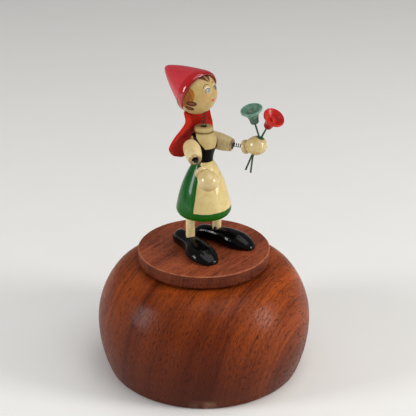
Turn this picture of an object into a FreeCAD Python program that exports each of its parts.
import FreeCAD, Part
import math
import os
import Sketcher

# Turned wooden music box base with a turning disc and a spring-jointed wooden doll.
# Millimetres; the origin is on the table under the middle of the base, Z is up and the doll faces -Y.

V = FreeCAD.Vector
doc = FreeCAD.newDocument("music_box_doll")

TABLE = [
    ("base_radius", 55.0, "widest radius of the turned base"),
    ("girth_height", 26.0, "height of the widest ring"),
    ("foot_inset", 5.0, "foot ring inside the widest ring"),
    ("foot_bevel", 1.0, "broken edge under the foot"),
    ("shoulder_inset", 21.8, "edge of the flat top inside the widest ring"),
    ("shoulder_height", 57.2, "height of the flat top"),
    ("shoulder_round", 17.0, "upper bend of the dome"),
    ("base_wall", 8.5, "wood left above the cavity"),
    ("foot_width", 3.8, "width of the foot ring"),
    ("plate_ledge", 4.2, "ledge that the bottom plate meets"),
    ("cavity_spring", 30.0, "height where the cavity starts to close"),
    ("cavity_round", 19.0, "bend of the cavity ceiling"),
    ("ceiling_inset", 18.0, "flat ceiling inside the cavity wall"),
    ("key_room", 15.0, "height left for the winding key"),
    ("plate_thickness", 4.0, "bottom plate"),
    ("plate_play", 0.3, "ring of play around the bottom plate"),
    ("plate_bore", 5.6, "hole in the bottom plate for the winding arbor"),
    ("screw_head", 2.0, "head radius of the largest wood screws"),
    ("bed_thickness", 2.5, "bedplate of the movement"),
    ("bed_left", 18.0, "bedplate reach to the left"),
    ("bed_margin", 3.0, "bedplate end to cavity wall"),
    ("bed_front", 19.6, "bedplate reach to the front"),
    ("bed_back", 17.8, "bedplate reach to the back"),
    ("bed_corner", 6.0, "cut corners of the bedplate"),
    ("boss_radius", 6.0, "bearing boss on the bedplate"),
    ("boss_height", 1.9, "bearing boss on the bedplate"),
    ("running_gap", 0.3, "gap between a turning piece and its bearing"),
    ("side_play", 0.4, "gap between a turning piece and its neighbour"),
    ("arbor_radius", 2.0, "winding arbor"),
    ("arbor_core", 3.0, "thick part of the winding arbor"),
    ("crown_flange", 2.2, "thickness of the crown wheel"),
    ("crown_radius", 15.0, "mean radius of the crown teeth"),
    ("crown_face", 2.4, "length of a crown tooth"),
    ("crown_root", 0.85, "crown tooth below its pitch plane"),
    ("crown_tip", 0.5, "crown tooth above its pitch plane"),
    ("drum_radius", 12.8, "outside of the spring drum"),
    ("drum_wall", 1.0, "wall of the spring drum"),
    ("drum_height", 12.6, "wall height of the spring drum"),
    ("lid_thickness", 1.5, "drum lid"),
    ("spindle_radius", 2.5, "drive spindle"),
    ("spindle_collar", 5.0, "collar of the drive spindle"),
    ("bush_radius", 4.5, "outside of the spindle bush"),
    ("bush_lip", 6.5, "lip of the spindle bush"),
    ("lip_thickness", 0.7, "lip of the spindle bush"),
    ("turntable_overhang", 0.5, "turning disc beyond the flat top"),
    ("turntable_thickness", 7.3, "turning disc"),
    ("turntable_gap", 1.2, "gap between base and disc"),
    ("turntable_bevel", 0.7, "broken edge of the disc"),
    ("turntable_taper", 0.5, "how far the disc edge leans in at the bottom"),
    ("hub_radius", 10.0, "hub flange under the disc"),
    ("hub_thickness", 2.0, "hub flange under the disc"),
    ("shaft_radius", 1.0, "cylinder arbor"),
    ("pinion_width", 2.2, "pinion on the cylinder arbor"),
    ("post_thickness", 1.3, "bearing posts of the cylinder"),
    ("post_width", 8.0, "bearing posts of the cylinder"),
    ("cylinder_radius", 5.4, "pinned cylinder"),
    ("pin_reach", 0.6, "height of a pin"),
    ("pin_radius", 0.22, "foot of a pin"),
    ("comb_gap", 0.3, "gap between pins and comb"),
    ("comb_thickness", 1.0, "steel comb"),
    ("comb_slot", 0.28, "saw cut between comb teeth"),
    ("comb_root", 6.6, "solid back of the comb"),
    ("wheel_width", 1.2, "gears of the governor"),
    ("fine_module", 0.4, "size of the cylinder gear teeth"),
    ("worm_radius", 1.5, "pitch radius of the worm"),
    ("worm_module", 0.42, "size of the worm wheel teeth"),
    ("fan_reach", 4.2, "air fan blade reach"),
    ("fan_height", 3.4, "air fan blade height"),
    ("key_width", 24.0, "winding key"),
    ("key_height", 10.0, "winding key"),
    ("key_lift", 2.5, "winding key above the table"),
    ("key_thickness", 1.6, "winding key"),
    ("key_boss", 3.2, "boss of the winding key"),
    ("shoe_length", 36.0, "shoe"),
    ("shoe_width", 12.1, "shoe"),
    ("shoe_height", 7.0, "shoe"),
    ("leg_radius", 2.3, "leg dowel"),
    ("left_leg_out", 9.6, "left leg from the axis"),
    ("left_leg_back", 0.2, "left leg behind the axis"),
    ("right_leg_out", 7.2, "right leg from the axis"),
    ("right_leg_back", 2.4, "right leg behind the axis"),
    ("shoe_offset", 0.2, "shoe middle outside its leg"),
    ("leg_socket", 3.6, "leg inside the shoe"),
    ("leg_tenon", 8.0, "leg inside the skirt"),
    ("hem_lift", 19.2, "hem above the disc"),
    ("skirt_height", 28.5, "hem to waist"),
    ("hem_radius", 13.8, "skirt at its widest"),
    ("hem_roll", 3.6, "height of the rounded hem"),
    ("hem_inset", 1.8, "how far the rounded hem turns in"),
    ("skirt_bend", 62.0, "bell curve of the skirt"),
    ("waist_radius", 4.6, "waist"),
    ("tenon_radius", 2.5, "torso tenon in the skirt"),
    ("tenon_length", 6.0, "torso tenon in the skirt"),
    ("chest_radius", 6.6, "chest"),
    ("chest_height", 7.4, "waist to chest"),
    ("bust_height", 12.6, "waist to shoulder line"),
    ("throat_radius", 4.2, "groove under the collar"),
    ("throat_height", 15.2, "waist to groove"),
    ("collar_radius", 4.7, "collar bead"),
    ("collar_height", 2.2, "collar bead"),
    ("spring_bore", 1.75, "bores that hold the neck spring"),
    ("collar_bore_depth", 4.5, "neck spring inside the collar"),
    ("neck_length", 7.0, "neck spring between collar and head"),
    ("neck_spring_radius", 1.2, "neck spring wire centre"),
    ("neck_wire", 0.44, "neck spring wire"),
    ("neck_pitch", 1.34, "neck spring pitch"),
    ("head_radius", 10.5, "head"),
    ("head_back", 5.4, "head centre behind the neck"),
    ("head_bore_depth", 3.6, "neck spring inside the head"),
    ("hood_lift", 19.0, "hood axis above level, degrees"),
    ("hood_rim", 12.1, "hood rim radius"),
    ("hood_length", 23.4, "hood from head centre to tip"),
    ("hood_tip", 1.9, "hood tip radius"),
    ("hood_bend", 80.0, "hood side curve"),
    ("hood_lip", 1.0, "rounded rim of the hood"),
    ("cape_thickness", 1.2, "felt"),
    ("cape_gap", 0.35, "cape behind the collar"),
    ("cape_flare", 8.75, "cape hem behind the part that lies on the collar"),
    ("cape_curl", 4.2, "cape edges in front of its middle"),
    ("cape_half_width", 15.4, "cape half width where it is widest"),
    ("cape_fall", 27.0, "cape from top to hem"),
    ("cape_clearance", 2.3, "cape below the head and hood"),
    ("sleeve_radius", 4.2, "sleeve at the shoulder"),
    ("cuff_end_radius", 3.2, "sleeve at its end"),
    ("sleeve_length", 10.3, "shoulder centre to sleeve end"),
    ("sleeve_bore", 1.7, "sleeve bore for the spring"),
    ("sleeve_bore_depth", 4.0, "sleeve bore for the spring"),
    ("shoulder_out", 7.8, "shoulder centre from the axis"),
    ("shoulder_back", 0.6, "shoulder centre behind the axis"),
    ("shoulder_up", 8.2, "waist to shoulder centre"),
    ("left_hand_gap", 6.0, "spring seen between left sleeve and hand"),
    ("right_hand_gap", 3.8, "spring seen between right sleeve and hand"),
    ("hand_cuff_radius", 3.5, "cuff of the hand"),
    ("hand_cuff", 2.2, "cuff of the hand"),
    ("hand_radius", 4.8, "hand ball"),
    ("hand_centre", 7.2, "cuff face to hand centre"),
    ("hand_bore_depth", 2.8, "hand bore for the spring"),
    ("hand_spring_radius", 0.9, "hand spring wire centre"),
    ("hand_wire", 0.36, "hand spring wire"),
    ("hand_pitch", 0.95, "hand spring pitch"),
    ("stem_radius", 0.45, "flower stem"),
    ("stem_hole", 1.4, "hole through the left hand"),
    ("flower_radius", 5.45, "flower rim"),
    ("flower_height", 8.2, "flower"),
    ("mainspring_strip", 0.3, "mainspring strip"),
    ("clutch_wire", 0.5, "wrap spring wire"),
    ("clutch_pitch", 1.0, "wrap spring pitch"),
]

CYLINDER_TEETH = 12
CROWN_TEETH = 48
GEAR_TEETH = 38
GOVERNOR_TEETH = 10
WORM_TEETH = 14
COMB_TEETH = 18


class Size:
    """A length from the sheet, or one worked out from such lengths, with the sheet text that gives it."""

    def __init__(self, value, text):
        self.value = value
        self.text = text

    def joined(self, other, sign, value):
        return Size(value, "(" + self.text + " " + sign + " " + other.text + ")")

    def __add__(self, other):
        other = as_size(other)
        return self.joined(other, "+", self.value + other.value)

    def __radd__(self, other):
        return as_size(other) + self

    def __sub__(self, other):
        other = as_size(other)
        return self.joined(other, "-", self.value - other.value)

    def __rsub__(self, other):
        return as_size(other) - self

    def __mul__(self, other):
        other = as_size(other)
        return self.joined(other, "*", self.value * other.value)

    def __rmul__(self, other):
        return as_size(other) * self

    def __truediv__(self, other):
        other = as_size(other)
        return self.joined(other, "/", self.value / other.value)

    def __neg__(self):
        return as_size(0.0) - self


def as_size(number):
    if isinstance(number, Size):
        return number
    if number < 0:
        return Size(float(number), "(0 - " + repr(-float(number)) + ")")
    return Size(float(number), repr(float(number)))


class Sizes:
    pass


sheet = doc.addObject("Spreadsheet::Sheet", "Sizes")
s = Sizes()
for row, (alias, value, note) in enumerate(TABLE, 1):
    sheet.set("A" + str(row), alias)
    sheet.set("B" + str(row), repr(value))
    sheet.set("C" + str(row), note)
    sheet.setAlias("B" + str(row), alias)
    setattr(s, alias, Size(value, "Sizes." + alias))
doc.recompute()


def new_sketch(body, role, name, offset=None):
    """A sketch on one of the body's own planes, moved along the plane's normal by offset."""
    sketch = body.newObject("Sketcher::SketchObject", name)
    for plane in body.Origin.OriginFeatures:
        if plane.Role == role:
            sketch.AttachmentSupport = [(plane, "")]
    sketch.MapMode = "FlatFace"
    if offset is not None:
        sketch.AttachmentOffset = FreeCAD.Placement(V(0, 0, as_size(offset).value), FreeCAD.Rotation())
        sketch.setExpression("AttachmentOffset.Base.z", as_size(offset).text)
    return sketch


def place_point(sketch, geo, end, x, y, rules, bound):
    """Adds the rules that hold one end of an edge at (x, y)."""
    for kind, axis, number in (("DistanceX", -2, x), ("DistanceY", -1, y)):
        number = as_size(number)
        if number.text == "0.0":
            rules.append(Sketcher.Constraint("PointOnObject", geo, end, axis))
        else:
            bound.append((len(rules), number.text))
            rules.append(Sketcher.Constraint(kind, -1, 1, geo, end, number.value))


def apply_rules(sketch, rules, bound):
    start = sketch.ConstraintCount
    sketch.addConstraint(rules)
    for index, text in bound:
        if "Sizes" in text:
            sketch.setExpression("Constraints[" + str(start + index) + "]", text)


def outline(sketch, points):
    """A closed outline; a point given as (x, y, bend, side) starts an arc, centre left (1) or right (-1)."""
    count = len(points)
    first = sketch.GeometryCount
    edges = []
    ends = []
    for index in range(count):
        here = points[index]
        there = points[(index + 1) % count]
        a = V(as_size(here[0]).value, as_size(here[1]).value, 0)
        b = V(as_size(there[0]).value, as_size(there[1]).value, 0)
        if len(here) == 2:
            edges.append(Part.LineSegment(a, b))
            ends.append((1, 2))
            continue
        bend = as_size(here[2]).value
        chord = b - a
        left = V(-chord.y, chord.x, 0)
        left.normalize()
        rise = math.sqrt(max(bend * bend - chord.Length ** 2 / 4, 0.0))
        centre = (a + b) * 0.5 + left * (rise * here[3])
        start = math.atan2(a.y - centre.y, a.x - centre.x)
        stop = math.atan2(b.y - centre.y, b.x - centre.x)
        circle = Part.Circle(centre, V(0, 0, 1), bend)
        if here[3] > 0:
            edges.append(Part.ArcOfCircle(circle, start, stop))
            ends.append((1, 2))
        else:
            edges.append(Part.ArcOfCircle(circle, stop, start))
            ends.append((2, 1))
    sketch.addGeometry(edges)
    rules = []
    bound = []
    for index in range(count):
        after = (index + 1) % count
        rules.append(Sketcher.Constraint("Coincident", first + index, ends[index][1],
                                         first + after, ends[after][0]))
    for index in range(count):
        here = points[index]
        place_point(sketch, first + index, ends[index][0], here[0], here[1], rules, bound)
        if len(here) == 4:
            bound.append((len(rules), as_size(here[2]).text))
            rules.append(Sketcher.Constraint("Radius", first + index, as_size(here[2]).value))
    apply_rules(sketch, rules, bound)


def circles(sketch, rings):
    """Circles given as (x, y, radius)."""
    for x, y, radius in rings:
        geo = sketch.GeometryCount
        centre = V(as_size(x).value, as_size(y).value, 0)
        sketch.addGeometry(Part.Circle(centre, V(0, 0, 1), as_size(radius).value))
        rules = []
        bound = []
        place_point(sketch, geo, 3, x, y, rules, bound)
        bound.append((len(rules), as_size(radius).text))
        rules.append(Sketcher.Constraint("Radius", geo, as_size(radius).value))
        apply_rules(sketch, rules, bound)


def new_body(label):
    return doc.addObject("PartDesign::Body", label)


def turn(body, points, kind="PartDesign::Revolution"):
    """Turns an outline drawn as (radius, height) round the body's Z axis."""
    sketch = new_sketch(body, "XZ_Plane", body.Name + "_profile")
    outline(sketch, points)
    feature = body.newObject(kind, body.Name + "_turned")
    feature.Profile = sketch
    feature.ReferenceAxis = (sketch, ["V_Axis"])
    feature.Angle = 360
    return feature


def turned(label, points):
    body = new_body(label)
    turn(body, points)
    return body


def pad(body, name, role, offset, length, points=None, rings=None, kind="PartDesign::Pad"):
    """Pads (or pockets) an outline or circles from a plane of the body."""
    sketch = new_sketch(body, role, name + "_sketch", offset)
    if points is not None:
        outline(sketch, points)
    if rings is not None:
        circles(sketch, rings)
    feature = body.newObject(kind, name)
    feature.Profile = sketch
    if length is None:
        feature.Type = "ThroughAll"
    else:
        feature.Length = as_size(length).value
        feature.setExpression("Length", as_size(length).text)
    return feature


def rectangle(left, bottom, right, top):
    return [(left, bottom), (right, bottom), (right, top), (left, top)]


def ring_of(body, feature, axis_role, count):
    """Repeats a feature round one of the body's own axes."""
    pattern = body.newObject("PartDesign::PolarPattern", feature.Name + "_ring")
    pattern.Originals = [feature]
    for axis in body.Origin.OriginFeatures:
        if axis.Role == axis_role:
            pattern.Axis = (axis, [""])
    pattern.Angle = 360
    pattern.Occurrences = count
    body.Tip = pattern
    return pattern


def cut(label, base, tool):
    feature = doc.addObject("Part::Cut", label)
    feature.Base = base
    feature.Tool = tool
    return feature


def cylinder(label, radius, low, high):
    """An upright round bar from height low to height high on the axis."""
    bar = doc.addObject("Part::Cylinder", label)
    bar.setExpression("Radius", as_size(radius).text)
    bar.setExpression("Height", (as_size(high) - low).text)
    bar.setExpression("Placement.Base.z", as_size(low).text)
    return bar


def set_shape(label, shape):
    feature = doc.addObject("Part::Feature", label)
    feature.Shape = shape
    return feature


def aim(piece, origin, direction):
    piece.Placement = FreeCAD.Placement(origin, FreeCAD.Rotation(V(0, 0, 1), direction))


def group(label, master, spots):
    """Copies of one small piece as separate solids; each spot is a Placement."""
    doc.recompute()
    copies = []
    for spot in spots:
        shape = master.Shape.copy()
        shape.Placement = spot
        copies.append(shape)
    return set_shape(label, Part.makeCompound(copies))


def upright(x, y, z):
    return FreeCAD.Placement(V(x, y, z), FreeCAD.Rotation())


def hanging(x, y, z):
    return FreeCAD.Placement(V(x, y, z), FreeCAD.Rotation(V(1, 0, 0), 180))


def screw(label, wide, thin, length, depth):
    """A countersunk screw, its head's flat face at the origin, pointing up; in shares of the largest head."""
    body = new_body(label)
    head = wide * s.screw_head
    shank = thin * s.screw_head
    sink = depth * s.screw_head
    slot = 0.25 * head
    deep = 0.22 * head
    turn(body, [(0.0, 0.0), (head, 0.0), (shank, sink), (shank, length - shank), (0.0, length)])
    mark = rectangle(-1.2 * head, -0.5 * slot, 1.2 * head, 0.5 * slot)
    pad(body, label + "_slot", "XY_Plane", None, deep, mark, kind="PartDesign::Pocket").Reversed = True
    return body


def wire_arc(start, along, stop):
    """The arc that leaves start in the direction along and ends at stop."""
    chord = stop - start
    length = chord.Length
    unit = chord * (1 / length)
    side = along - unit * along.dot(unit)
    if side.Length < 1e-7:
        return Part.makeLine(start, stop)
    side.normalize()
    angle = math.atan2(along.dot(side), along.dot(unit))
    middle = (start + stop) * 0.5 + side * (0.5 * length * math.tan(angle / 2))
    return Part.Arc(start, middle, stop).toShape()


def biarc(start, along, stop, onward):
    """Two arcs that join start to stop and keep both directions."""
    reach = stop - start
    total = along + onward
    same = 2 * (1 - along.dot(onward))
    dot = reach.dot(total)
    if same < 1e-9:
        step = reach.dot(reach) / (2 * dot)
    else:
        step = (-dot + math.sqrt(dot * dot + same * reach.dot(reach))) / same
    joint = (start + along * step + stop - onward * step) * 0.5
    first = wire_arc(start, along, joint)
    back = wire_arc(stop, onward * -1, joint)
    return [first, back]


def tube(edges, start, along, radius):
    """A round wire along edges."""
    path = Part.Wire(edges)
    ring = Part.Wire([Part.makeCircle(radius, start, along)])
    shell = Part.BRepOffsetAPI.MakePipeShell(path)
    shell.add(ring)
    shell.build()
    shell.makeSolid()
    shape = shell.shape()
    if shape.Volume < 0:
        shape.reverse()
    return shape


def coil(label, radius, wire, pitch, length):
    """One unbroken wire wound round Z from height 0 to length, its ends straight and upright."""
    stub = wire
    bend = 1.3 * wire
    lead = stub + bend
    turns = (length - 2 * lead) / pitch
    quarters = max(int(round(turns * 4)), 4)
    rise = (length - 2 * lead) / quarters
    slope = rise / (radius * math.pi / 2)
    points = []
    headings = []
    for step in range(quarters + 1):
        angle = step * math.pi / 2
        points.append(V(radius * math.cos(angle), radius * math.sin(angle), lead + step * rise))
        heading = V(-math.sin(angle), math.cos(angle), slope)
        heading.normalize()
        headings.append(heading)
    up = V(0, 0, 1)
    level = V(headings[0].x, headings[0].y, 0)
    low = points[0] - level * bend
    low.z = stub
    foot = V(low.x, low.y, 0)
    level = V(headings[-1].x, headings[-1].y, 0)
    high = points[-1] + level * bend
    high.z = length - stub
    tip = V(high.x, high.y, length)
    edges = [Part.makeLine(foot, low)]
    edges += biarc(low, up, points[0], headings[0])
    for step in range(quarters):
        edges += biarc(points[step], headings[step], points[step + 1], headings[step + 1])
    edges += biarc(points[-1], headings[-1], high, up)
    edges.append(Part.makeLine(high, tip))
    print(label, "coil gap", round(rise * 4 - wire, 3))
    return tube(edges, foot, up, wire / 2)


def bent_wire(points, bend, radius):
    """A round wire through straight runs joined by bends."""
    edges = []
    start = points[0]
    for index in range(1, len(points) - 1):
        before = points[index] - points[index - 1]
        after = points[index + 1] - points[index]
        before.normalize()
        after.normalize()
        turn_angle = before.getAngle(after)
        back = bend * math.tan(turn_angle / 2)
        enter = points[index] - before * back
        leave = points[index] + after * back
        edges.append(Part.makeLine(start, enter))
        edges.append(wire_arc(enter, before, leave))
        start = leave
    edges.append(Part.makeLine(start, points[-1]))
    along = points[1] - points[0]
    along.normalize()
    return tube(edges, points[0], along, radius)


def spiral(inner, outer, strip, turns, low, high):
    """A flat wound strip made of half rings about two centres."""
    halves = int(turns * 2)
    step = (outer - inner - strip) / halves
    outside = []
    inside = []
    radius = inner + strip / 2
    for half in range(halves):
        centre = V(0, 0, low) if half % 2 == 0 else V(step, 0, low)
        sign = 1 if half % 2 == 0 else -1
        for store, size in ((outside, radius + strip / 2), (inside, radius - strip / 2)):
            a = centre + V(sign * size, 0, 0)
            m = centre + V(0, sign * size, 0)
            b = centre + V(-sign * size, 0, 0)
            store.append(Part.Arc(a, m, b).toShape())
        radius += step
    start = Part.makeLine(inside[0].Vertexes[0].Point, outside[0].Vertexes[0].Point)
    stop = Part.makeLine(outside[-1].Vertexes[-1].Point, inside[-1].Vertexes[-1].Point)
    face = Part.Face(Part.Wire(Part.__sortEdges__([start] + outside + [stop] + inside)))
    return face.extrude(V(0, 0, high - low))


def gear(label, teeth, module, width, bore, root=1.2, tip=0.9, thick=0.36):
    """A spur wheel on the X axis; the first tooth points to +Y."""
    body = new_body(label)
    pitch_radius = module * (teeth / 2.0)
    low = pitch_radius - root * module
    high = pitch_radius + tip * module
    half = 3.14159 * module * thick
    pad(body, label + "_disc", "YZ_Plane", None, width, rings=[(0.0, 0.0, low), (0.0, 0.0, bore)])
    foot = 1.35 * half
    crest = 0.5 * half
    tooth = pad(body, label + "_tooth", "YZ_Plane", None, width,
                [(low - 0.2 * module, -foot), (pitch_radius, -half), (high, -crest), (high, crest),
                 (pitch_radius, half), (low - 0.2 * module, foot)])
    ring_of(body, tooth, "X_Axis", teeth)
    return body


nodes = {}

# Radii of the base, from its widest ring inwards.
foot_radius = s.base_radius - s.foot_inset
shoulder_radius = s.base_radius - s.shoulder_inset
recess_radius = foot_radius - s.foot_width
cavity_radius = recess_radius - s.plate_ledge
screw_circle = recess_radius - 0.5 * s.plate_ledge
bed_right = cavity_radius - s.bed_margin
disc_radius = shoulder_radius + s.turntable_overhang

# Heights that the pieces share.
plate_low = s.key_room
plate_top = plate_low + s.plate_thickness
bed_top = plate_top + s.bed_thickness
barrel_low = bed_top + s.boss_height + s.running_gap
flange_top = barrel_low + s.crown_flange
pinion_radius = s.crown_radius * (CYLINDER_TEETH / CROWN_TEETH)
axle = flange_top + s.crown_root + pinion_radius
drum_top = flange_top + s.drum_height
lid_top = drum_top + s.lid_thickness
disc_low = s.shoulder_height + s.turntable_gap
disc_top = disc_low + s.turntable_thickness
hem = disc_top + s.hem_lift
waist = hem + s.skirt_height
collar_low = waist + s.throat_height
collar_top = collar_low + s.collar_height

# Turned base.
across = s.base_radius - shoulder_radius
rise = s.shoulder_height - s.girth_height
side_bend = (across * across + rise * rise - 2 * rise * s.shoulder_round) / (2 * (across - s.shoulder_round))
spread = side_bend - s.shoulder_round
break_radius = shoulder_radius + s.shoulder_round * (side_bend - across) / spread
break_height = s.shoulder_height - s.shoulder_round + s.shoulder_round * (rise - s.shoulder_round) / spread
flare = s.base_radius - foot_radius
belly = s.girth_height - s.foot_bevel
belly_bend = (flare * flare + belly * belly) / (2 * flare)
ceiling = s.shoulder_height - s.base_wall
base_blank = turned("base_shell_blank", [
    (recess_radius, 0.0),
    (foot_radius - s.foot_bevel, 0.0),
    (foot_radius, s.foot_bevel, belly_bend, 1),
    (s.base_radius, s.girth_height, side_bend, 1),
    (break_radius, break_height, s.shoulder_round, 1),
    (shoulder_radius, s.shoulder_height),
    (s.bush_radius, s.shoulder_height),
    (s.bush_radius, ceiling),
    ((cavity_radius - s.ceiling_inset), ceiling, s.cavity_round, -1),
    (cavity_radius, s.cavity_spring),
    (cavity_radius, plate_top),
    (recess_radius, plate_top),
])

# Bottom plate and its screws.
plate_blank = new_body("bottom_plate_blank")
pad(plate_blank, "plate_disc", "XY_Plane", plate_low, s.plate_thickness,
    rings=[(0.0, 0.0, recess_radius - s.plate_play), (0.0, 0.0, s.plate_bore)])
plate_screw = screw("plate_screw", 1.0, 0.55, 5.0 * s.screw_head, 0.55)
spots = []
for quarter in range(4):
    angle = math.radians(45 + 90 * quarter)
    spots.append(upright(screw_circle.value * math.cos(angle), screw_circle.value * math.sin(angle),
                         plate_low.value))
plate_screws = group("bottom_plate_screws", plate_screw, spots)
movement_screw = screw("movement_screw", 1.1, 0.6, s.plate_thickness + s.bed_thickness - s.side_play, 0.6)
inset = 2.0 * s.screw_head
spots = []
for x, y in ((inset - s.bed_left, 1.1 * s.bed_corner - s.bed_front),
             (inset - s.bed_left, s.bed_back - 0.9 * s.bed_corner),
             (bed_right - s.bed_corner, s.bed_back - 0.95 * s.bed_corner)):
    spots.append(upright(x.value, y.value, plate_low.value))
movement_screws = group("movement_screws", movement_screw, spots)
nodes["base_shell"] = cut("base_shell", base_blank, plate_screws)
plate_drilled = cut("bottom_plate_drilled", plate_blank, plate_screws)
nodes["bottom_plate"] = cut("bottom_plate", plate_drilled, movement_screws)
nodes["bottom_plate_screws"] = plate_screws
nodes["movement_screws"] = movement_screws

# Bush that carries the drive spindle in the top of the base.
nodes["spindle_bush"] = turned("spindle_bush", [
    (s.spindle_radius + s.running_gap, ceiling),
    (s.bush_radius, ceiling),
    (s.bush_radius, s.shoulder_height),
    (s.bush_lip, s.shoulder_height),
    (s.bush_lip, s.shoulder_height + s.lip_thickness),
    (s.spindle_radius + s.running_gap, s.shoulder_height + s.lip_thickness),
])

# Places along the cylinder.
pinion_start = s.crown_radius - 0.5 * s.pinion_width
pinion_end = pinion_start + s.pinion_width
post_start = s.crown_radius + 0.5 * s.crown_face + s.side_play
post_end = post_start + s.post_thickness
gear_start = post_end + s.side_play
gear_end = gear_start + s.wheel_width
end_play = 1.25 * s.side_play
overrun = 1.5 * s.side_play
drum_start = gear_end
outer_end = bed_right - 2.75 * s.side_play
outer_start = outer_end - s.post_thickness
drum_end = outer_start - end_play
cylinder_length = drum_end - drum_start
gear_radius = s.fine_module * (GEAR_TEETH / 2)
governor_radius = s.fine_module * (GOVERNOR_TEETH / 2)
backlash = 0.15 * s.side_play
governor_y = gear_radius + governor_radius + backlash
worm_wheel_radius = s.worm_module * (WORM_TEETH / 2)
worm_y = governor_y + worm_wheel_radius + s.worm_radius + backlash
frame_left = gear_end + s.side_play
worm_x = frame_left + 2.2 * s.worm_radius
frame_right = worm_x + s.fan_reach + overrun
comb_tip = -(s.cylinder_radius + s.pin_reach + s.comb_gap)
comb_back = -s.bed_front

# Bedplate with boss, comb block and slots for the posts.
bed_blank = new_body("bedplate_blank")
pad(bed_blank, "bed_slab", "XY_Plane", plate_top, s.bed_thickness, [
    (-s.bed_left, -s.bed_front + s.bed_corner),
    (-s.bed_left + s.bed_corner, -s.bed_front),
    (bed_right - s.bed_corner, -s.bed_front),
    (bed_right, -s.bed_front + s.bed_corner),
    (bed_right, s.bed_back - s.bed_corner),
    (bed_right - s.bed_corner, s.bed_back),
    (-s.bed_left + s.bed_corner, s.bed_back),
    (-s.bed_left, s.bed_back - s.bed_corner),
])
pad(bed_blank, "bed_boss", "XY_Plane", bed_top, s.boss_height, rings=[(0.0, 0.0, s.boss_radius)])
pad(bed_blank, "comb_block", "XY_Plane", bed_top, axle - 0.5 * s.comb_thickness - bed_top,
    rectangle(drum_start, comb_back, bed_right - s.bed_corner, comb_back + 0.9 * s.comb_root))
pad(bed_blank, "bed_bore", "XY_Plane", bed_top + s.boss_height, None,
    rings=[(0.0, 0.0, s.arbor_radius + s.running_gap)], kind="PartDesign::Pocket")
for name, start, end in (("inner_slot", post_start, post_end), ("outer_slot", outer_start, outer_end)):
    pad(bed_blank, name, "XY_Plane", bed_top, None, rectangle(start, -2.5, end, 2.5),
        kind="PartDesign::Pocket")
comb_screw = screw("comb_screw", 0.95, 0.5, 2.5 * s.screw_head, 0.45)
comb_top = axle + 0.5 * s.comb_thickness
screw_row = comb_back.value + 0.45 * s.comb_root.value
spots = []
for part in (0.13, 0.42, 0.71):
    spots.append(hanging(drum_start.value + part * cylinder_length.value, screw_row, comb_top.value))
comb_screws = group("comb_screws", comb_screw, spots)
bed_drilled = cut("bedplate_drilled", bed_blank, movement_screws)
frame_screw = screw("frame_screw", 0.85, 0.45, 1.6 * s.screw_head, 0.4)
foot_top = bed_top + 0.6 * s.bed_thickness
governor_screw = group("governor_screws", frame_screw, [
    hanging((frame_left + s.screw_head).value, (worm_y + 1.3 * s.screw_head).value, foot_top.value),
    hanging((frame_right - 0.85 * s.screw_head).value, (worm_y - 2.3 * s.screw_head).value, foot_top.value)])
bed_tapped = cut("bedplate_tapped", bed_drilled, governor_screw)
nodes["bedplate"] = cut("bedplate", bed_tapped, comb_screws)
nodes["comb_screws"] = comb_screws
nodes["governor_screws"] = governor_screw

# Steel comb.
comb_blank = new_body("comb_blank")
comb_low = axle - 0.5 * s.comb_thickness
tooth_pitch = cylinder_length / COMB_TEETH
pad(comb_blank, "comb_plate", "XY_Plane", comb_low, s.comb_thickness,
    rectangle(drum_start, comb_back, drum_end, comb_tip))
slot_x = drum_start + tooth_pitch
saw_cut = pad(comb_blank, "saw_cut", "XY_Plane", comb_low + s.comb_thickness, None,
              rectangle(slot_x - 0.5 * s.comb_slot, comb_back + s.comb_root, slot_x + 0.5 * s.comb_slot,
                        comb_tip + 0.5), kind="PartDesign::Pocket")
saw_cuts = comb_blank.newObject("PartDesign::LinearPattern", "saw_cuts")
saw_cuts.Originals = [saw_cut]
for axis in comb_blank.Origin.OriginFeatures:
    if axis.Role == "X_Axis":
        saw_cuts.Direction = (axis, [""])
saw_cuts.Length = tooth_pitch.value * (COMB_TEETH - 2)
saw_cuts.setExpression("Length", (tooth_pitch * (COMB_TEETH - 2)).text)
saw_cuts.Occurrences = COMB_TEETH - 1
comb_blank.Tip = saw_cuts
nodes["comb"] = cut("comb", comb_blank, comb_screws)

# Posts that carry the cylinder.
for label, start in (("cylinder_post_inner", post_start), ("cylinder_post_outer", outer_start)):
    post = new_body(label)
    half = 0.5 * s.post_width
    pad(post, label + "_plate", "YZ_Plane", start, s.post_thickness, [
        (-2.5, plate_top), (2.5, plate_top), (2.5, bed_top), (half, bed_top),
        (half, axle, half + 0.02, 1), (-half, axle), (-half, bed_top), (-2.5, bed_top)])
    pad(post, label + "_bore", "YZ_Plane", start, s.post_thickness,
        rings=[(0.0, axle, s.shaft_radius + s.running_gap)], kind="PartDesign::Pocket").Reversed = True
    nodes[label] = post

# Cylinder with its arbor, pinion and gear.
arbor = cylinder("cylinder_arbor", s.shaft_radius, pinion_start - overrun, outer_end + overrun)
arbor.setExpression("Placement.Base.x", (pinion_start - overrun).text)
arbor.setExpression("Placement.Base.z", axle.text)
arbor.Placement = FreeCAD.Placement(V((pinion_start - overrun).value, 0, axle.value),
                                    FreeCAD.Rotation(V(0, 0, 1), V(1, 0, 0)))
nodes["cylinder_arbor"] = arbor
pinion = gear("cylinder_pinion", CYLINDER_TEETH, pinion_radius * (2.0 / CYLINDER_TEETH), s.pinion_width,
              s.shaft_radius, 1.2, 0.8, 0.2)
pinion.Placement = FreeCAD.Placement(V(pinion_start.value, 0, axle.value),
                                     FreeCAD.Rotation(V(1, 0, 0), 90 + 180.0 / CYLINDER_TEETH))
nodes["cylinder_pinion"] = pinion
wheel = gear("cylinder_gear", GEAR_TEETH, s.fine_module, s.wheel_width, s.shaft_radius, 1.25, 0.85, 0.2)
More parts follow.
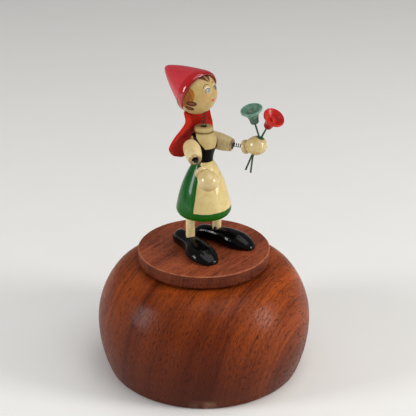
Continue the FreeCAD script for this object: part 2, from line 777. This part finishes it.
wheel.Placement = upright(gear_start.value, 0, axle.value)
nodes["cylinder_gear"] = wheel
doc.recompute()
sleeve_shape = Part.makeCylinder(s.cylinder_radius.value, cylinder_length.value,
                                 V(drum_start.value, 0, axle.value), V(1, 0, 0))
bore_shape = Part.makeCylinder(s.shaft_radius.value, cylinder_length.value,
                               V(drum_start.value, 0, axle.value), V(1, 0, 0))
pins = []
for track in range(COMB_TEETH):
    x = drum_start.value + (track + 0.5) * tooth_pitch.value
    for note in range(4):
        angle = math.radians(23 + 90 * note + (track * 37 + note * 11) % 61)
        out = V(0, math.cos(angle), math.sin(angle))
        foot = V(x, 0, axle.value) + out * (s.cylinder_radius.value - 0.3)
        pins.append(Part.makeCone(s.pin_radius.value, 0.6 * s.pin_radius.value,
                                  s.pin_reach.value + 0.3, foot, out))
nodes["pinned_cylinder"] = set_shape("pinned_cylinder", sleeve_shape.fuse(pins).cut(bore_shape))

# Governor: frame, arbor with pinion and worm wheel, worm with air fan.
frame = new_body("governor_frame_blank")
frame_low = governor_y - 1.1 * governor_radius
frame_high = worm_y + s.fan_reach + 0.5 * s.side_play
ear = 2.0 * s.side_play
fan_low = axle + worm_wheel_radius + 3.0 * s.side_play
fan_top = fan_low + s.fan_height
roof = fan_top + end_play
roof_top = roof + 2.0 * end_play
pivot = 1.25 * s.side_play
pad(frame, "frame_bend", "XZ_Plane", -frame_high, frame_high - frame_low, [
    (frame_left, bed_top), (frame_right + ear, bed_top), (frame_right + ear, roof_top),
    (worm_x - 2.0 * ear, roof_top), (worm_x - 2.0 * ear, roof), (frame_right, roof), (frame_right, foot_top),
    (frame_left + ear, foot_top), (frame_left + ear, axle + 3.0 * ear), (frame_left, axle + 3.0 * ear)])
pad(frame, "frame_bores", "YZ_Plane", frame_left - ear, None,
    rings=[(governor_y, axle, 0.6 * s.shaft_radius + s.running_gap)],
    kind="PartDesign::Pocket").Reversed = True
pad(frame, "frame_pivots", "XY_Plane", roof_top + ear, None,
    rings=[(worm_x, worm_y, pivot + s.running_gap)], kind="PartDesign::Pocket")
nodes["governor_frame"] = cut("governor_frame", frame, governor_screw)
governor = new_body("governor_arbor")
pad(governor, "governor_bar", "YZ_Plane", None, frame_right + ear - gear_start + overrun,
    rings=[(0.0, 0.0, s.shaft_radius * 0.6)])
low = governor_radius - 1.2 * s.fine_module
pad(governor, "governor_core", "YZ_Plane", None, s.wheel_width, rings=[(0.0, 0.0, low)])
half = s.fine_module * 0.6
leaf = pad(governor, "governor_leaf", "YZ_Plane", None, s.wheel_width,
           [(0.8 * low, -1.2 * half), (governor_radius, -half), (1.16 * governor_radius, -0.45 * half),
            (1.16 * governor_radius, 0.45 * half), (governor_radius, half), (0.8 * low, 1.2 * half)])
ring_of(governor, leaf, "X_Axis", GOVERNOR_TEETH)
governor.Placement = FreeCAD.Placement(V(gear_start.value, governor_y.value, axle.value),
                                       FreeCAD.Rotation(V(1, 0, 0), 180.0 / GOVERNOR_TEETH))
nodes["governor_arbor"] = governor
worm_wheel = gear("worm_wheel", WORM_TEETH, s.worm_module, s.wheel_width, 0.6 * s.shaft_radius,
                  1.2, 0.8, 0.19)
nodes["worm_wheel"] = worm_wheel
worm = new_body("worm_shaft")
core = 0.6333 * s.worm_radius
worm_half = 1.8667 * s.worm_radius
worm_foot = bed_top + s.running_gap
worm_tip = roof + ear
turn(worm, [
    (0.0, worm_foot), (pivot, worm_foot), (pivot, axle - worm_half), (core, axle - worm_half),
    (core, axle + worm_half), (pivot, axle + worm_half), (pivot, worm_tip), (0.0, worm_tip)])
thread_pitch = 3.14159 * s.worm_module
thread_sketch = new_sketch(worm, "XZ_Plane", "thread_sketch")
thread_low = axle - 1.75 * thread_pitch
crest = 1.2 * s.worm_radius
buried = 0.84 * core
foot_half = 0.667 * s.worm_module
thread_half = 0.81 * s.worm_module
crest_half = 0.262 * s.worm_module
outline(thread_sketch, [
    (buried, thread_low - thread_half), (core, thread_low - foot_half), (crest, thread_low - crest_half),
    (crest, thread_low + crest_half), (core, thread_low + foot_half), (buried, thread_low + thread_half)])
thread = worm.newObject("PartDesign::AdditiveHelix", "worm_thread")
thread.Profile = thread_sketch
thread.ReferenceAxis = (thread_sketch, ["V_Axis"])
thread.Mode = 0
thread.Pitch = thread_pitch.value
thread.setExpression("Pitch", thread_pitch.text)
thread.Height = 3 * thread_pitch.value
thread.setExpression("Height", (3 * thread_pitch).text)
worm.Placement = upright(worm_x.value, worm_y.value, 0)
nodes["worm_shaft"] = worm
wheel_left = worm_x - 0.5 * s.wheel_width
worm_wheel.Placement = FreeCAD.Placement(V(wheel_left.value, governor_y.value, axle.value),
                                         FreeCAD.Rotation(V(1, 0, 0), 180.0 / WORM_TEETH))
fan = new_body("air_fan")
pad(fan, "fan_blade", "XZ_Plane", -0.5 * s.side_play, s.side_play,
    rectangle(-s.fan_reach, fan_low, s.fan_reach, fan_top))
pad(fan, "fan_hub", "XY_Plane", fan_low + s.side_play, 0.65 * s.fan_height, rings=[(0.0, 0.0, 2.2 * pivot)])
pad(fan, "fan_bore", "XY_Plane", fan_top + ear, None, rings=[(0.0, 0.0, pivot)], kind="PartDesign::Pocket")
fan.Placement = upright(worm_x.value, worm_y.value, 0)
nodes["air_fan"] = fan

# Spring drum with crown teeth, lid and mainspring.
barrel = new_body("spring_barrel")
crown_edge = s.crown_radius + 0.5 * s.crown_face
drum_inside = s.drum_radius - s.drum_wall
turn(barrel, [
    (s.arbor_radius + s.running_gap, barrel_low), (crown_edge, barrel_low),
    (crown_edge, flange_top), (s.drum_radius, flange_top), (s.drum_radius, drum_top),
    (drum_inside, drum_top), (drum_inside, flange_top),
    (s.arbor_radius + s.running_gap, flange_top)])
tooth_low = flange_top - 0.1
tooth_high = flange_top + s.crown_root + s.crown_tip
crown = pad(barrel, "crown_tooth", "YZ_Plane", s.crown_radius - 0.5 * s.crown_face, s.crown_face,
            [(-0.52, tooth_low), (0.52, tooth_low), (0.24, tooth_high), (-0.24, tooth_high)])
ring_of(barrel, crown, "Z_Axis", CROWN_TEETH)
nodes["spring_barrel"] = barrel
nodes["barrel_lid"] = turned("barrel_lid", [
    (s.spindle_radius, drum_top), (s.drum_radius, drum_top), (s.drum_radius, lid_top - 0.4),
    (s.drum_radius - 0.4, lid_top), (s.spindle_radius, lid_top)])
doc.recompute()
nodes["mainspring"] = set_shape("mainspring", spiral(
    (s.arbor_core + s.running_gap).value, drum_inside.value, s.mainspring_strip.value, 9,
    (flange_top + s.side_play).value, (drum_top - end_play).value))
hub_top = disc_low + s.hub_thickness
collar_face = lid_top + 0.5 * s.hub_thickness
nodes["drive_spindle"] = turned("drive_spindle", [
    (0.0, drum_top), (s.spindle_radius, drum_top), (s.spindle_radius, lid_top), (s.spindle_collar, lid_top),
    (s.spindle_collar, collar_face), (s.spindle_radius, collar_face),
    (s.spindle_radius, hub_top + s.hub_thickness), (0.0, hub_top + s.hub_thickness)])

# Winding arbor, key and the wrap spring that lets the arbor turn one way.
key_top = s.key_lift + s.key_height
key_seat = key_top + 1.7
arbor_low = s.key_lift + 0.4 * s.key_height
nodes["winding_arbor"] = turned("winding_arbor", [
    (0.0, arbor_low), (1.8, arbor_low), (1.8, key_seat), (s.arbor_core, key_seat),
    (s.arbor_core, plate_top - s.running_gap), (s.arbor_radius, plate_top - s.running_gap),
    (s.arbor_radius, flange_top + s.running_gap), (s.arbor_core, flange_top + s.running_gap),
    (s.arbor_core, drum_top - s.running_gap), (0.0, drum_top - s.running_gap)])
key = new_body("winding_key")
lobe = 0.5 * s.key_width - 0.5 * s.key_height
pad(key, "key_bow", "XZ_Plane", -0.5 * s.key_thickness, s.key_thickness, [
    (-lobe, s.key_lift), (lobe, s.key_lift, 0.5 * s.key_height + 0.05, 1), (lobe, key_top),
    (-lobe, key_top, 0.5 * s.key_height + 0.05, 1)])
eye_out = lobe + 0.06 * s.key_height
eye_up = s.key_lift + 0.5 * s.key_height
eye = 0.27 * s.key_height
pad(key, "key_eyes", "XZ_Plane", -s.key_thickness, None,
    rings=[(-eye_out, eye_up, eye), (eye_out, eye_up, eye)], kind="PartDesign::Pocket").Reversed = True
boss_low = s.key_lift + 0.2 * s.key_height
pad(key, "key_boss_round", "XY_Plane", boss_low, key_seat - boss_low, rings=[(0.0, 0.0, s.key_boss)])
pad(key, "key_thread", "XY_Plane", key_seat, key_seat - arbor_low, rings=[(0.0, 0.0, 1.8)],
    kind="PartDesign::Pocket")
nodes["winding_key"] = key
clutch_low = plate_low + 0.3
clutch = coil("clutch_spring", s.arbor_core.value + 0.5 * s.clutch_wire.value + s.running_gap.value,
              s.clutch_wire.value, s.clutch_pitch.value, plate_top.value - clutch_low.value)
clutch_piece = set_shape("clutch_spring", clutch)
clutch_piece.Placement = upright(0, 0, clutch_low.value)
nodes["clutch_spring"] = clutch_piece

# Turning disc with its hub.
socket_top = hub_top + s.hub_thickness + 0.5 * s.side_play
disc_blank = turned("turntable_blank", [
    (0.0, socket_top), (s.spindle_radius, socket_top), (s.spindle_radius, hub_top), (s.hub_radius, hub_top),
    (s.hub_radius, disc_low), (disc_radius - s.turntable_taper - s.turntable_bevel, disc_low),
    (disc_radius - s.turntable_taper, disc_low + s.turntable_bevel),
    (disc_radius, disc_top - s.turntable_bevel), (disc_radius - s.turntable_bevel, disc_top),
    (0.0, disc_top)])
hub_blank = turned("hub_flange_blank", [
    (s.spindle_radius, disc_low), (s.hub_radius, disc_low),
    (s.hub_radius, hub_top), (s.spindle_radius, hub_top)])
hub_screw = screw("hub_screw", 0.9, 0.475, s.hub_thickness + 1.5 * s.screw_head, 0.5)
hub_circle = 0.66 * s.hub_radius
spots = []
for third in range(3):
    angle = math.radians(90 + 120 * third)
    spots.append(upright(hub_circle.value * math.cos(angle), hub_circle.value * math.sin(angle),
                         disc_low.value))
hub_screws = group("hub_screws", hub_screw, spots)
nodes["hub_screws"] = hub_screws
nodes["hub_flange"] = cut("hub_flange", hub_blank, hub_screws)

# Shoes, legs and the screws that hold the shoes from below.
SHOE = [
    (-0.38, 0.30, 0.20, 0.42), (-0.33, 0.51, 0.36, 0.78), (-0.23, 0.61, 0.50, 1.00),
    (-0.11, 0.56, 0.50, 0.96), (0.01, 0.60, 0.46, 0.89), (0.11, 0.76, 0.40, 0.87),
    (0.25, 1.00, 0.38, 0.95), (0.36, 0.98, 0.36, 0.93), (0.48, 0.82, 0.26, 0.70),
    (0.57, 0.55, 0.15, 0.38), (0.62, 0.23, 0.08, 0.17)]
legs = {
    "left": (s.left_leg_out, s.left_leg_back, s.left_leg_out + s.shoe_offset, 13.3),
    "right": (-s.right_leg_out, s.right_leg_back, -s.right_leg_out - s.shoe_offset, -10.8)}
shoe_spots = {}
for label, (x, y, shoe_x, splay) in legs.items():
    shoe_spots[label + "_shoe"] = FreeCAD.Placement(V(shoe_x.value, y.value, disc_top.value),
                                                    FreeCAD.Rotation(V(0, 0, 1), splay))
shoe_blanks = {}
for label, spot in shoe_spots.items():
    shoe = new_body(label + "_blank")
    sketches = []
    for index, (place, wide, side, high) in enumerate(SHOE):
        sketch = new_sketch(shoe, "XZ_Plane", label + "_section" + str(index), s.shoe_length * place)
        w = s.shoe_width * (0.5 * wide)
        low = s.shoe_height * side
        arch = s.shoe_height * (high - side)
        outline(sketch, [(-w, 0.0), (w, 0.0), (w, low, (w * w + arch * arch) / (2 * arch), 1), (-w, low)])
        sketches.append(sketch)
    loft = shoe.newObject("PartDesign::AdditiveLoft", label + "_form")
    loft.Profile = sketches[0]
    loft.Sections = sketches[1:]
    shoe.Placement = spot
    shoe_blanks[label] = shoe
shoe_screw = screw("shoe_screw", 1.1, 0.55, s.turntable_thickness + 1.6 * s.screw_head, 0.65)
spots = []
for label, spot in shoe_spots.items():
    under = spot.multVec(V(0, -0.33 * s.shoe_length.value, 0))
    spots.append(upright(under.x, under.y, disc_low.value))
shoe_screws = group("shoe_screws", shoe_screw, spots)
nodes["shoe_screws"] = shoe_screws
disc_drilled = cut("turntable_drilled", disc_blank, hub_screws)
nodes["turntable"] = cut("turntable", disc_drilled, shoe_screws)
for label, (x, y, shoe_x, splay) in legs.items():
    leg_low = disc_top + 0.85 * s.shoe_height - s.leg_socket
    leg = cylinder(label + "_leg", s.leg_radius, leg_low, hem + s.leg_tenon)
    leg.setExpression("Placement.Base.x", x.text)
    leg.setExpression("Placement.Base.y", y.text)
    nodes[label + "_leg"] = leg
    bored = cut(label + "_shoe_bored", shoe_blanks[label + "_shoe"], leg)
    nodes[label + "_shoe"] = cut(label + "_shoe", bored, shoe_screws)

# Skirt and torso.
skirt_blank = turned("skirt_blank", [
    (0.0, hem), (s.hem_radius - s.hem_inset, hem, 0.9 * s.hem_roll, 1),
    (s.hem_radius, hem + s.hem_roll, s.skirt_bend, 1),
    (s.waist_radius, waist), (s.tenon_radius, waist), (s.tenon_radius, waist - s.tenon_length),
    (0.0, waist - s.tenon_length)])
skirt_bored = cut("skirt_bored", skirt_blank, nodes["left_leg"])
nodes["skirt"] = cut("skirt", skirt_bored, nodes["right_leg"])
torso = turned("torso", [
    (0.0, waist - s.tenon_length), (s.tenon_radius, waist - s.tenon_length), (s.tenon_radius, waist),
    (s.waist_radius, waist, 16.0, -1), (s.chest_radius, waist + s.chest_height, 14.0, 1),
    (s.chest_radius - 0.3, waist + s.bust_height, 4.2, 1), (s.throat_radius, collar_low),
    (s.collar_radius, collar_low + 0.5), (s.collar_radius, collar_top - 0.5),
    (s.collar_radius - 0.5, collar_top), (s.spring_bore, collar_top),
    (s.spring_bore, collar_top - s.collar_bore_depth), (0.0, collar_top - s.collar_bore_depth)])
nodes["torso"] = torso

# Sleeves, hands and hand springs.
shoulder = waist.value + s.shoulder_up.value
left_reach = V(0.33, -0.94, -0.13)
right_reach = V(-0.39, -0.79, -0.47)
left_lift = V(0.33, -0.94, 0.16)
right_lift = V(-0.14, -0.80, -0.59)
arms = {}
for label, side, reach, lift, gap in (("left", 1, left_reach, left_lift, s.left_hand_gap),
                                      ("right", -1, right_reach, right_lift, s.right_hand_gap)):
    reach.normalize()
    lift.normalize()
    start = V(side * s.shoulder_out.value, s.shoulder_back.value, shoulder)
    end = start + reach * s.sleeve_length.value
    cuff = end + (reach + lift) * (0.5 * gap.value)
    arms[label] = (start, end, reach, cuff, lift)
    sleeve = turned(label + "_sleeve_blank", [
        (0.0, -s.sleeve_radius, s.sleeve_radius, 1), (s.sleeve_radius, 0.0, 28.0, 1),
        (s.cuff_end_radius, s.sleeve_length - 0.5), (s.cuff_end_radius - 0.5, s.sleeve_length),
        (s.sleeve_bore, s.sleeve_length), (s.sleeve_bore, s.sleeve_length - s.sleeve_bore_depth),
        (0.0, s.sleeve_length - s.sleeve_bore_depth)])
    aim(sleeve, start, reach)
    nodes[label + "_sleeve"] = cut(label + "_sleeve", sleeve, torso)
    hand = turned(label + "_hand_blank", [
        (s.sleeve_bore, 0.0), (s.hand_cuff_radius - 0.6, 0.0), (s.hand_cuff_radius, 0.6),
        (s.hand_cuff_radius, s.hand_cuff - 0.6), (s.hand_cuff_radius - 0.6, s.hand_cuff),
        (0.6 * s.hand_radius, s.hand_centre - 0.8 * s.hand_radius, s.hand_radius, 1),
        (0.0, s.hand_centre + s.hand_radius),
        (0.0, s.hand_bore_depth), (s.sleeve_bore, s.hand_bore_depth)])
    aim(hand, cuff, lift)
    spring_start = end - reach * s.sleeve_bore_depth.value
    spring_end = cuff + lift * s.hand_bore_depth.value
    along = spring_end - spring_start
    wound = coil(label + "_hand_spring", s.hand_spring_radius.value, s.hand_wire.value, s.hand_pitch.value,
                 along.Length - 0.3)
    spring = set_shape(label + "_hand_spring", wound)
    along.normalize()
    aim(spring, spring_start + along * 0.15, along)
    nodes[label + "_hand_spring"] = spring
    arms[label + "_hand"] = hand

# Flowers in the left hand: two stems that cross in the hole through the ball.
palm = arms["left"][3] + arms["left"][4] * s.hand_centre.value
across_hand = V(0.7071, -0.7071, 0)
toward = V(-0.7071, -0.7071, 0)


def bouquet(u, w, d):
    return palm + across_hand * u + V(0, 0, w) + toward * d


FLOWERS = {
    "teal": ([(-3.0, -13.2), (-2.1, -4.9), (1.2, 4.4), (-1.3, 12.8)], 0.55, V(-0.30, 0.04, 0.95)),
    "red": ([(-5.4, -12.2), (-2.6, -4.9), (1.8, 4.4), (4.8, 10.4)], -0.55, V(-0.06, -0.60, 0.79))}
hole_low = bouquet(-3.1, -6.8, 0)
hole_high = bouquet(2.2, 6.2, 0)
hole = doc.addObject("Part::Cylinder", "stem_hole_tool")
hole.setExpression("Radius", s.stem_hole.text)
hole.Height = (hole_high - hole_low).Length
aim(hole, hole_low, hole_high - hole_low)
nodes["left_hand"] = cut("left_hand", arms["left_hand"], hole)
right_hand = cut("right_hand", arms["right_hand"], doc.addObject("Part::Sphere", "palm_dimple_tool"))
dimple = doc.getObject("palm_dimple_tool")
dimple.setExpression("Radius", (0.28 * s.hand_radius).text)
palm_out = s.hand_centre + 1.1 * s.hand_radius
dimple.Placement.Base = arms["right"][3] + arms["right"][4] * palm_out.value
nodes["right_hand"] = right_hand
for colour, (track, depth, axis) in FLOWERS.items():
    axis.normalize()
    points = [bouquet(u, w, depth) for u, w in track]
    base = points[-1]
    points.append(base + axis * 2.4)
    nodes[colour + "_stem"] = set_shape(colour + "_stem", bent_wire(points, 1.6, s.stem_radius.value))
    high = s.flower_height
    rim = s.flower_radius
    bloom = turned(colour + "_flower_blank", [
        (0.0, 0.0), (0.34 * rim, 0.0), (0.40 * rim, 0.12 * high), (0.50 * rim, 0.45 * high, 0.9 * rim, -1),
        (0.97 * rim, 0.86 * high), (rim, 0.93 * high), (0.95 * rim, 0.99 * high),
        (0.80 * rim, 0.95 * high, 1.4 * rim, 1),
        (0.34 * rim, 0.70 * high), (0.22 * rim, 0.70 * high), (0.16 * rim, 0.78 * high), (0.0, 0.80 * high)])
    aim(bloom, base, axis)
    nodes[colour + "_flower"] = cut(colour + "_flower", bloom, nodes[colour + "_stem"])

# Head, hood, neck spring and felt cape.
under_head = math.sqrt(s.head_radius.value ** 2 - s.head_back.value ** 2)
head_low = collar_top.value + s.neck_length.value
head_centre = V(0, s.head_back.value, head_low + under_head)
ball = doc.addObject("Part::Sphere", "head_blank")
ball.setExpression("Radius", s.head_radius.text)
ball.Placement.Base = head_centre
bore = cylinder("head_bore_tool", s.spring_bore, collar_top + s.neck_length - 4.0,
                collar_top + s.neck_length + s.head_bore_depth)
nodes["head"] = cut("head", ball, bore)
tilt = math.radians(s.hood_lift.value)
hood = turned("hood", [
    (s.head_radius, 0.0, s.head_radius, 1), (0.0, s.head_radius), (0.0, s.hood_length, s.hood_tip, -1),
    (0.96 * s.hood_tip, s.hood_length - 0.72 * s.hood_tip, s.hood_bend, -1),
    (s.hood_rim, s.hood_lip, 0.96 * s.hood_lip, -1), (s.head_radius + 0.45, -0.45 * s.hood_lip)])
aim(hood, head_centre, V(0, math.cos(tilt), math.sin(tilt)))
nodes["hood"] = hood
neck_low = collar_top.value - s.collar_bore_depth.value
neck_reach = s.collar_bore_depth + s.neck_length + s.head_bore_depth
neck = set_shape("neck_spring", coil("neck_spring", s.neck_spring_radius.value, s.neck_wire.value,
                                     s.neck_pitch.value, neck_reach.value))
neck.Placement = upright(0, 0, neck_low)
nodes["neck_spring"] = neck
CAPE = [
    (0.000, 0.536, 0.655, 0.074), (0.141, 0.552, 0.583, 0.000), (0.289, 0.692, 0.190, 0.000),
    (0.437, 0.844, 0.500, 0.360), (0.585, 0.968, 0.810, 0.657), (0.644, 1.000, 1.000, 0.760),
    (0.733, 0.857, 0.833, 0.863), (0.826, 0.669, 0.548, 0.943), (0.918, 0.419, 0.214, 0.989),
    (1.000, 0.162, 0.031, 1.000)]
cape = new_body("cape_blank")
cape_top = collar_top + s.neck_length
seat = s.collar_radius + s.cape_gap + s.cape_thickness
sketches = []
for index, (drop, wide, curl, flare) in enumerate(CAPE):
    sketch = new_sketch(cape, "XY_Plane", "cape_section" + str(index), cape_top - s.cape_fall * drop)
    w = s.cape_half_width * wide
    back = seat + s.cape_flare * flare
    deep = s.cape_curl * curl
    bend = (w * w + deep * deep) / (2 * deep)
    thin = s.cape_thickness / bend
    edge = back - deep
    bend_in = bend - s.cape_thickness
    wi = w * (1 - thin)
    edge_in = edge - thin * (bend - deep)
    outline(sketch, [
        (w, edge, bend, 1), (0.0, back, bend, 1), (-w, edge),
        (-wi, edge_in, bend_in, -1), (0.0, back - s.cape_thickness, bend_in, -1), (wi, edge_in)])
    sketches.append(sketch)
loft = cape.newObject("PartDesign::AdditiveLoft", "cape_form")
loft.Profile = sketches[0]
loft.Sections = sketches[1:]
room = doc.addObject("Part::Sphere", "head_room_tool")
room.setExpression("Radius", (s.head_radius + s.cape_clearance).text)
room.Placement.Base = head_centre
nodes["cape"] = cut("cape", cape, room)

doc.recompute()

os.makedirs("parts", exist_ok=True)
for item in doc.Objects:
    if "Invalid" in item.State or "Error" in item.State:
        raise RuntimeError("not built: " + item.Name + " " + str(item.State))
for label, piece in nodes.items():
    shape = piece.Shape
    if shape.isNull() or not shape.isValid():
        raise RuntimeError("bad shape: " + label)
    piece.Label = label
    shape.exportStep("parts/" + label + ".step")
print(len(nodes), "pieces written")
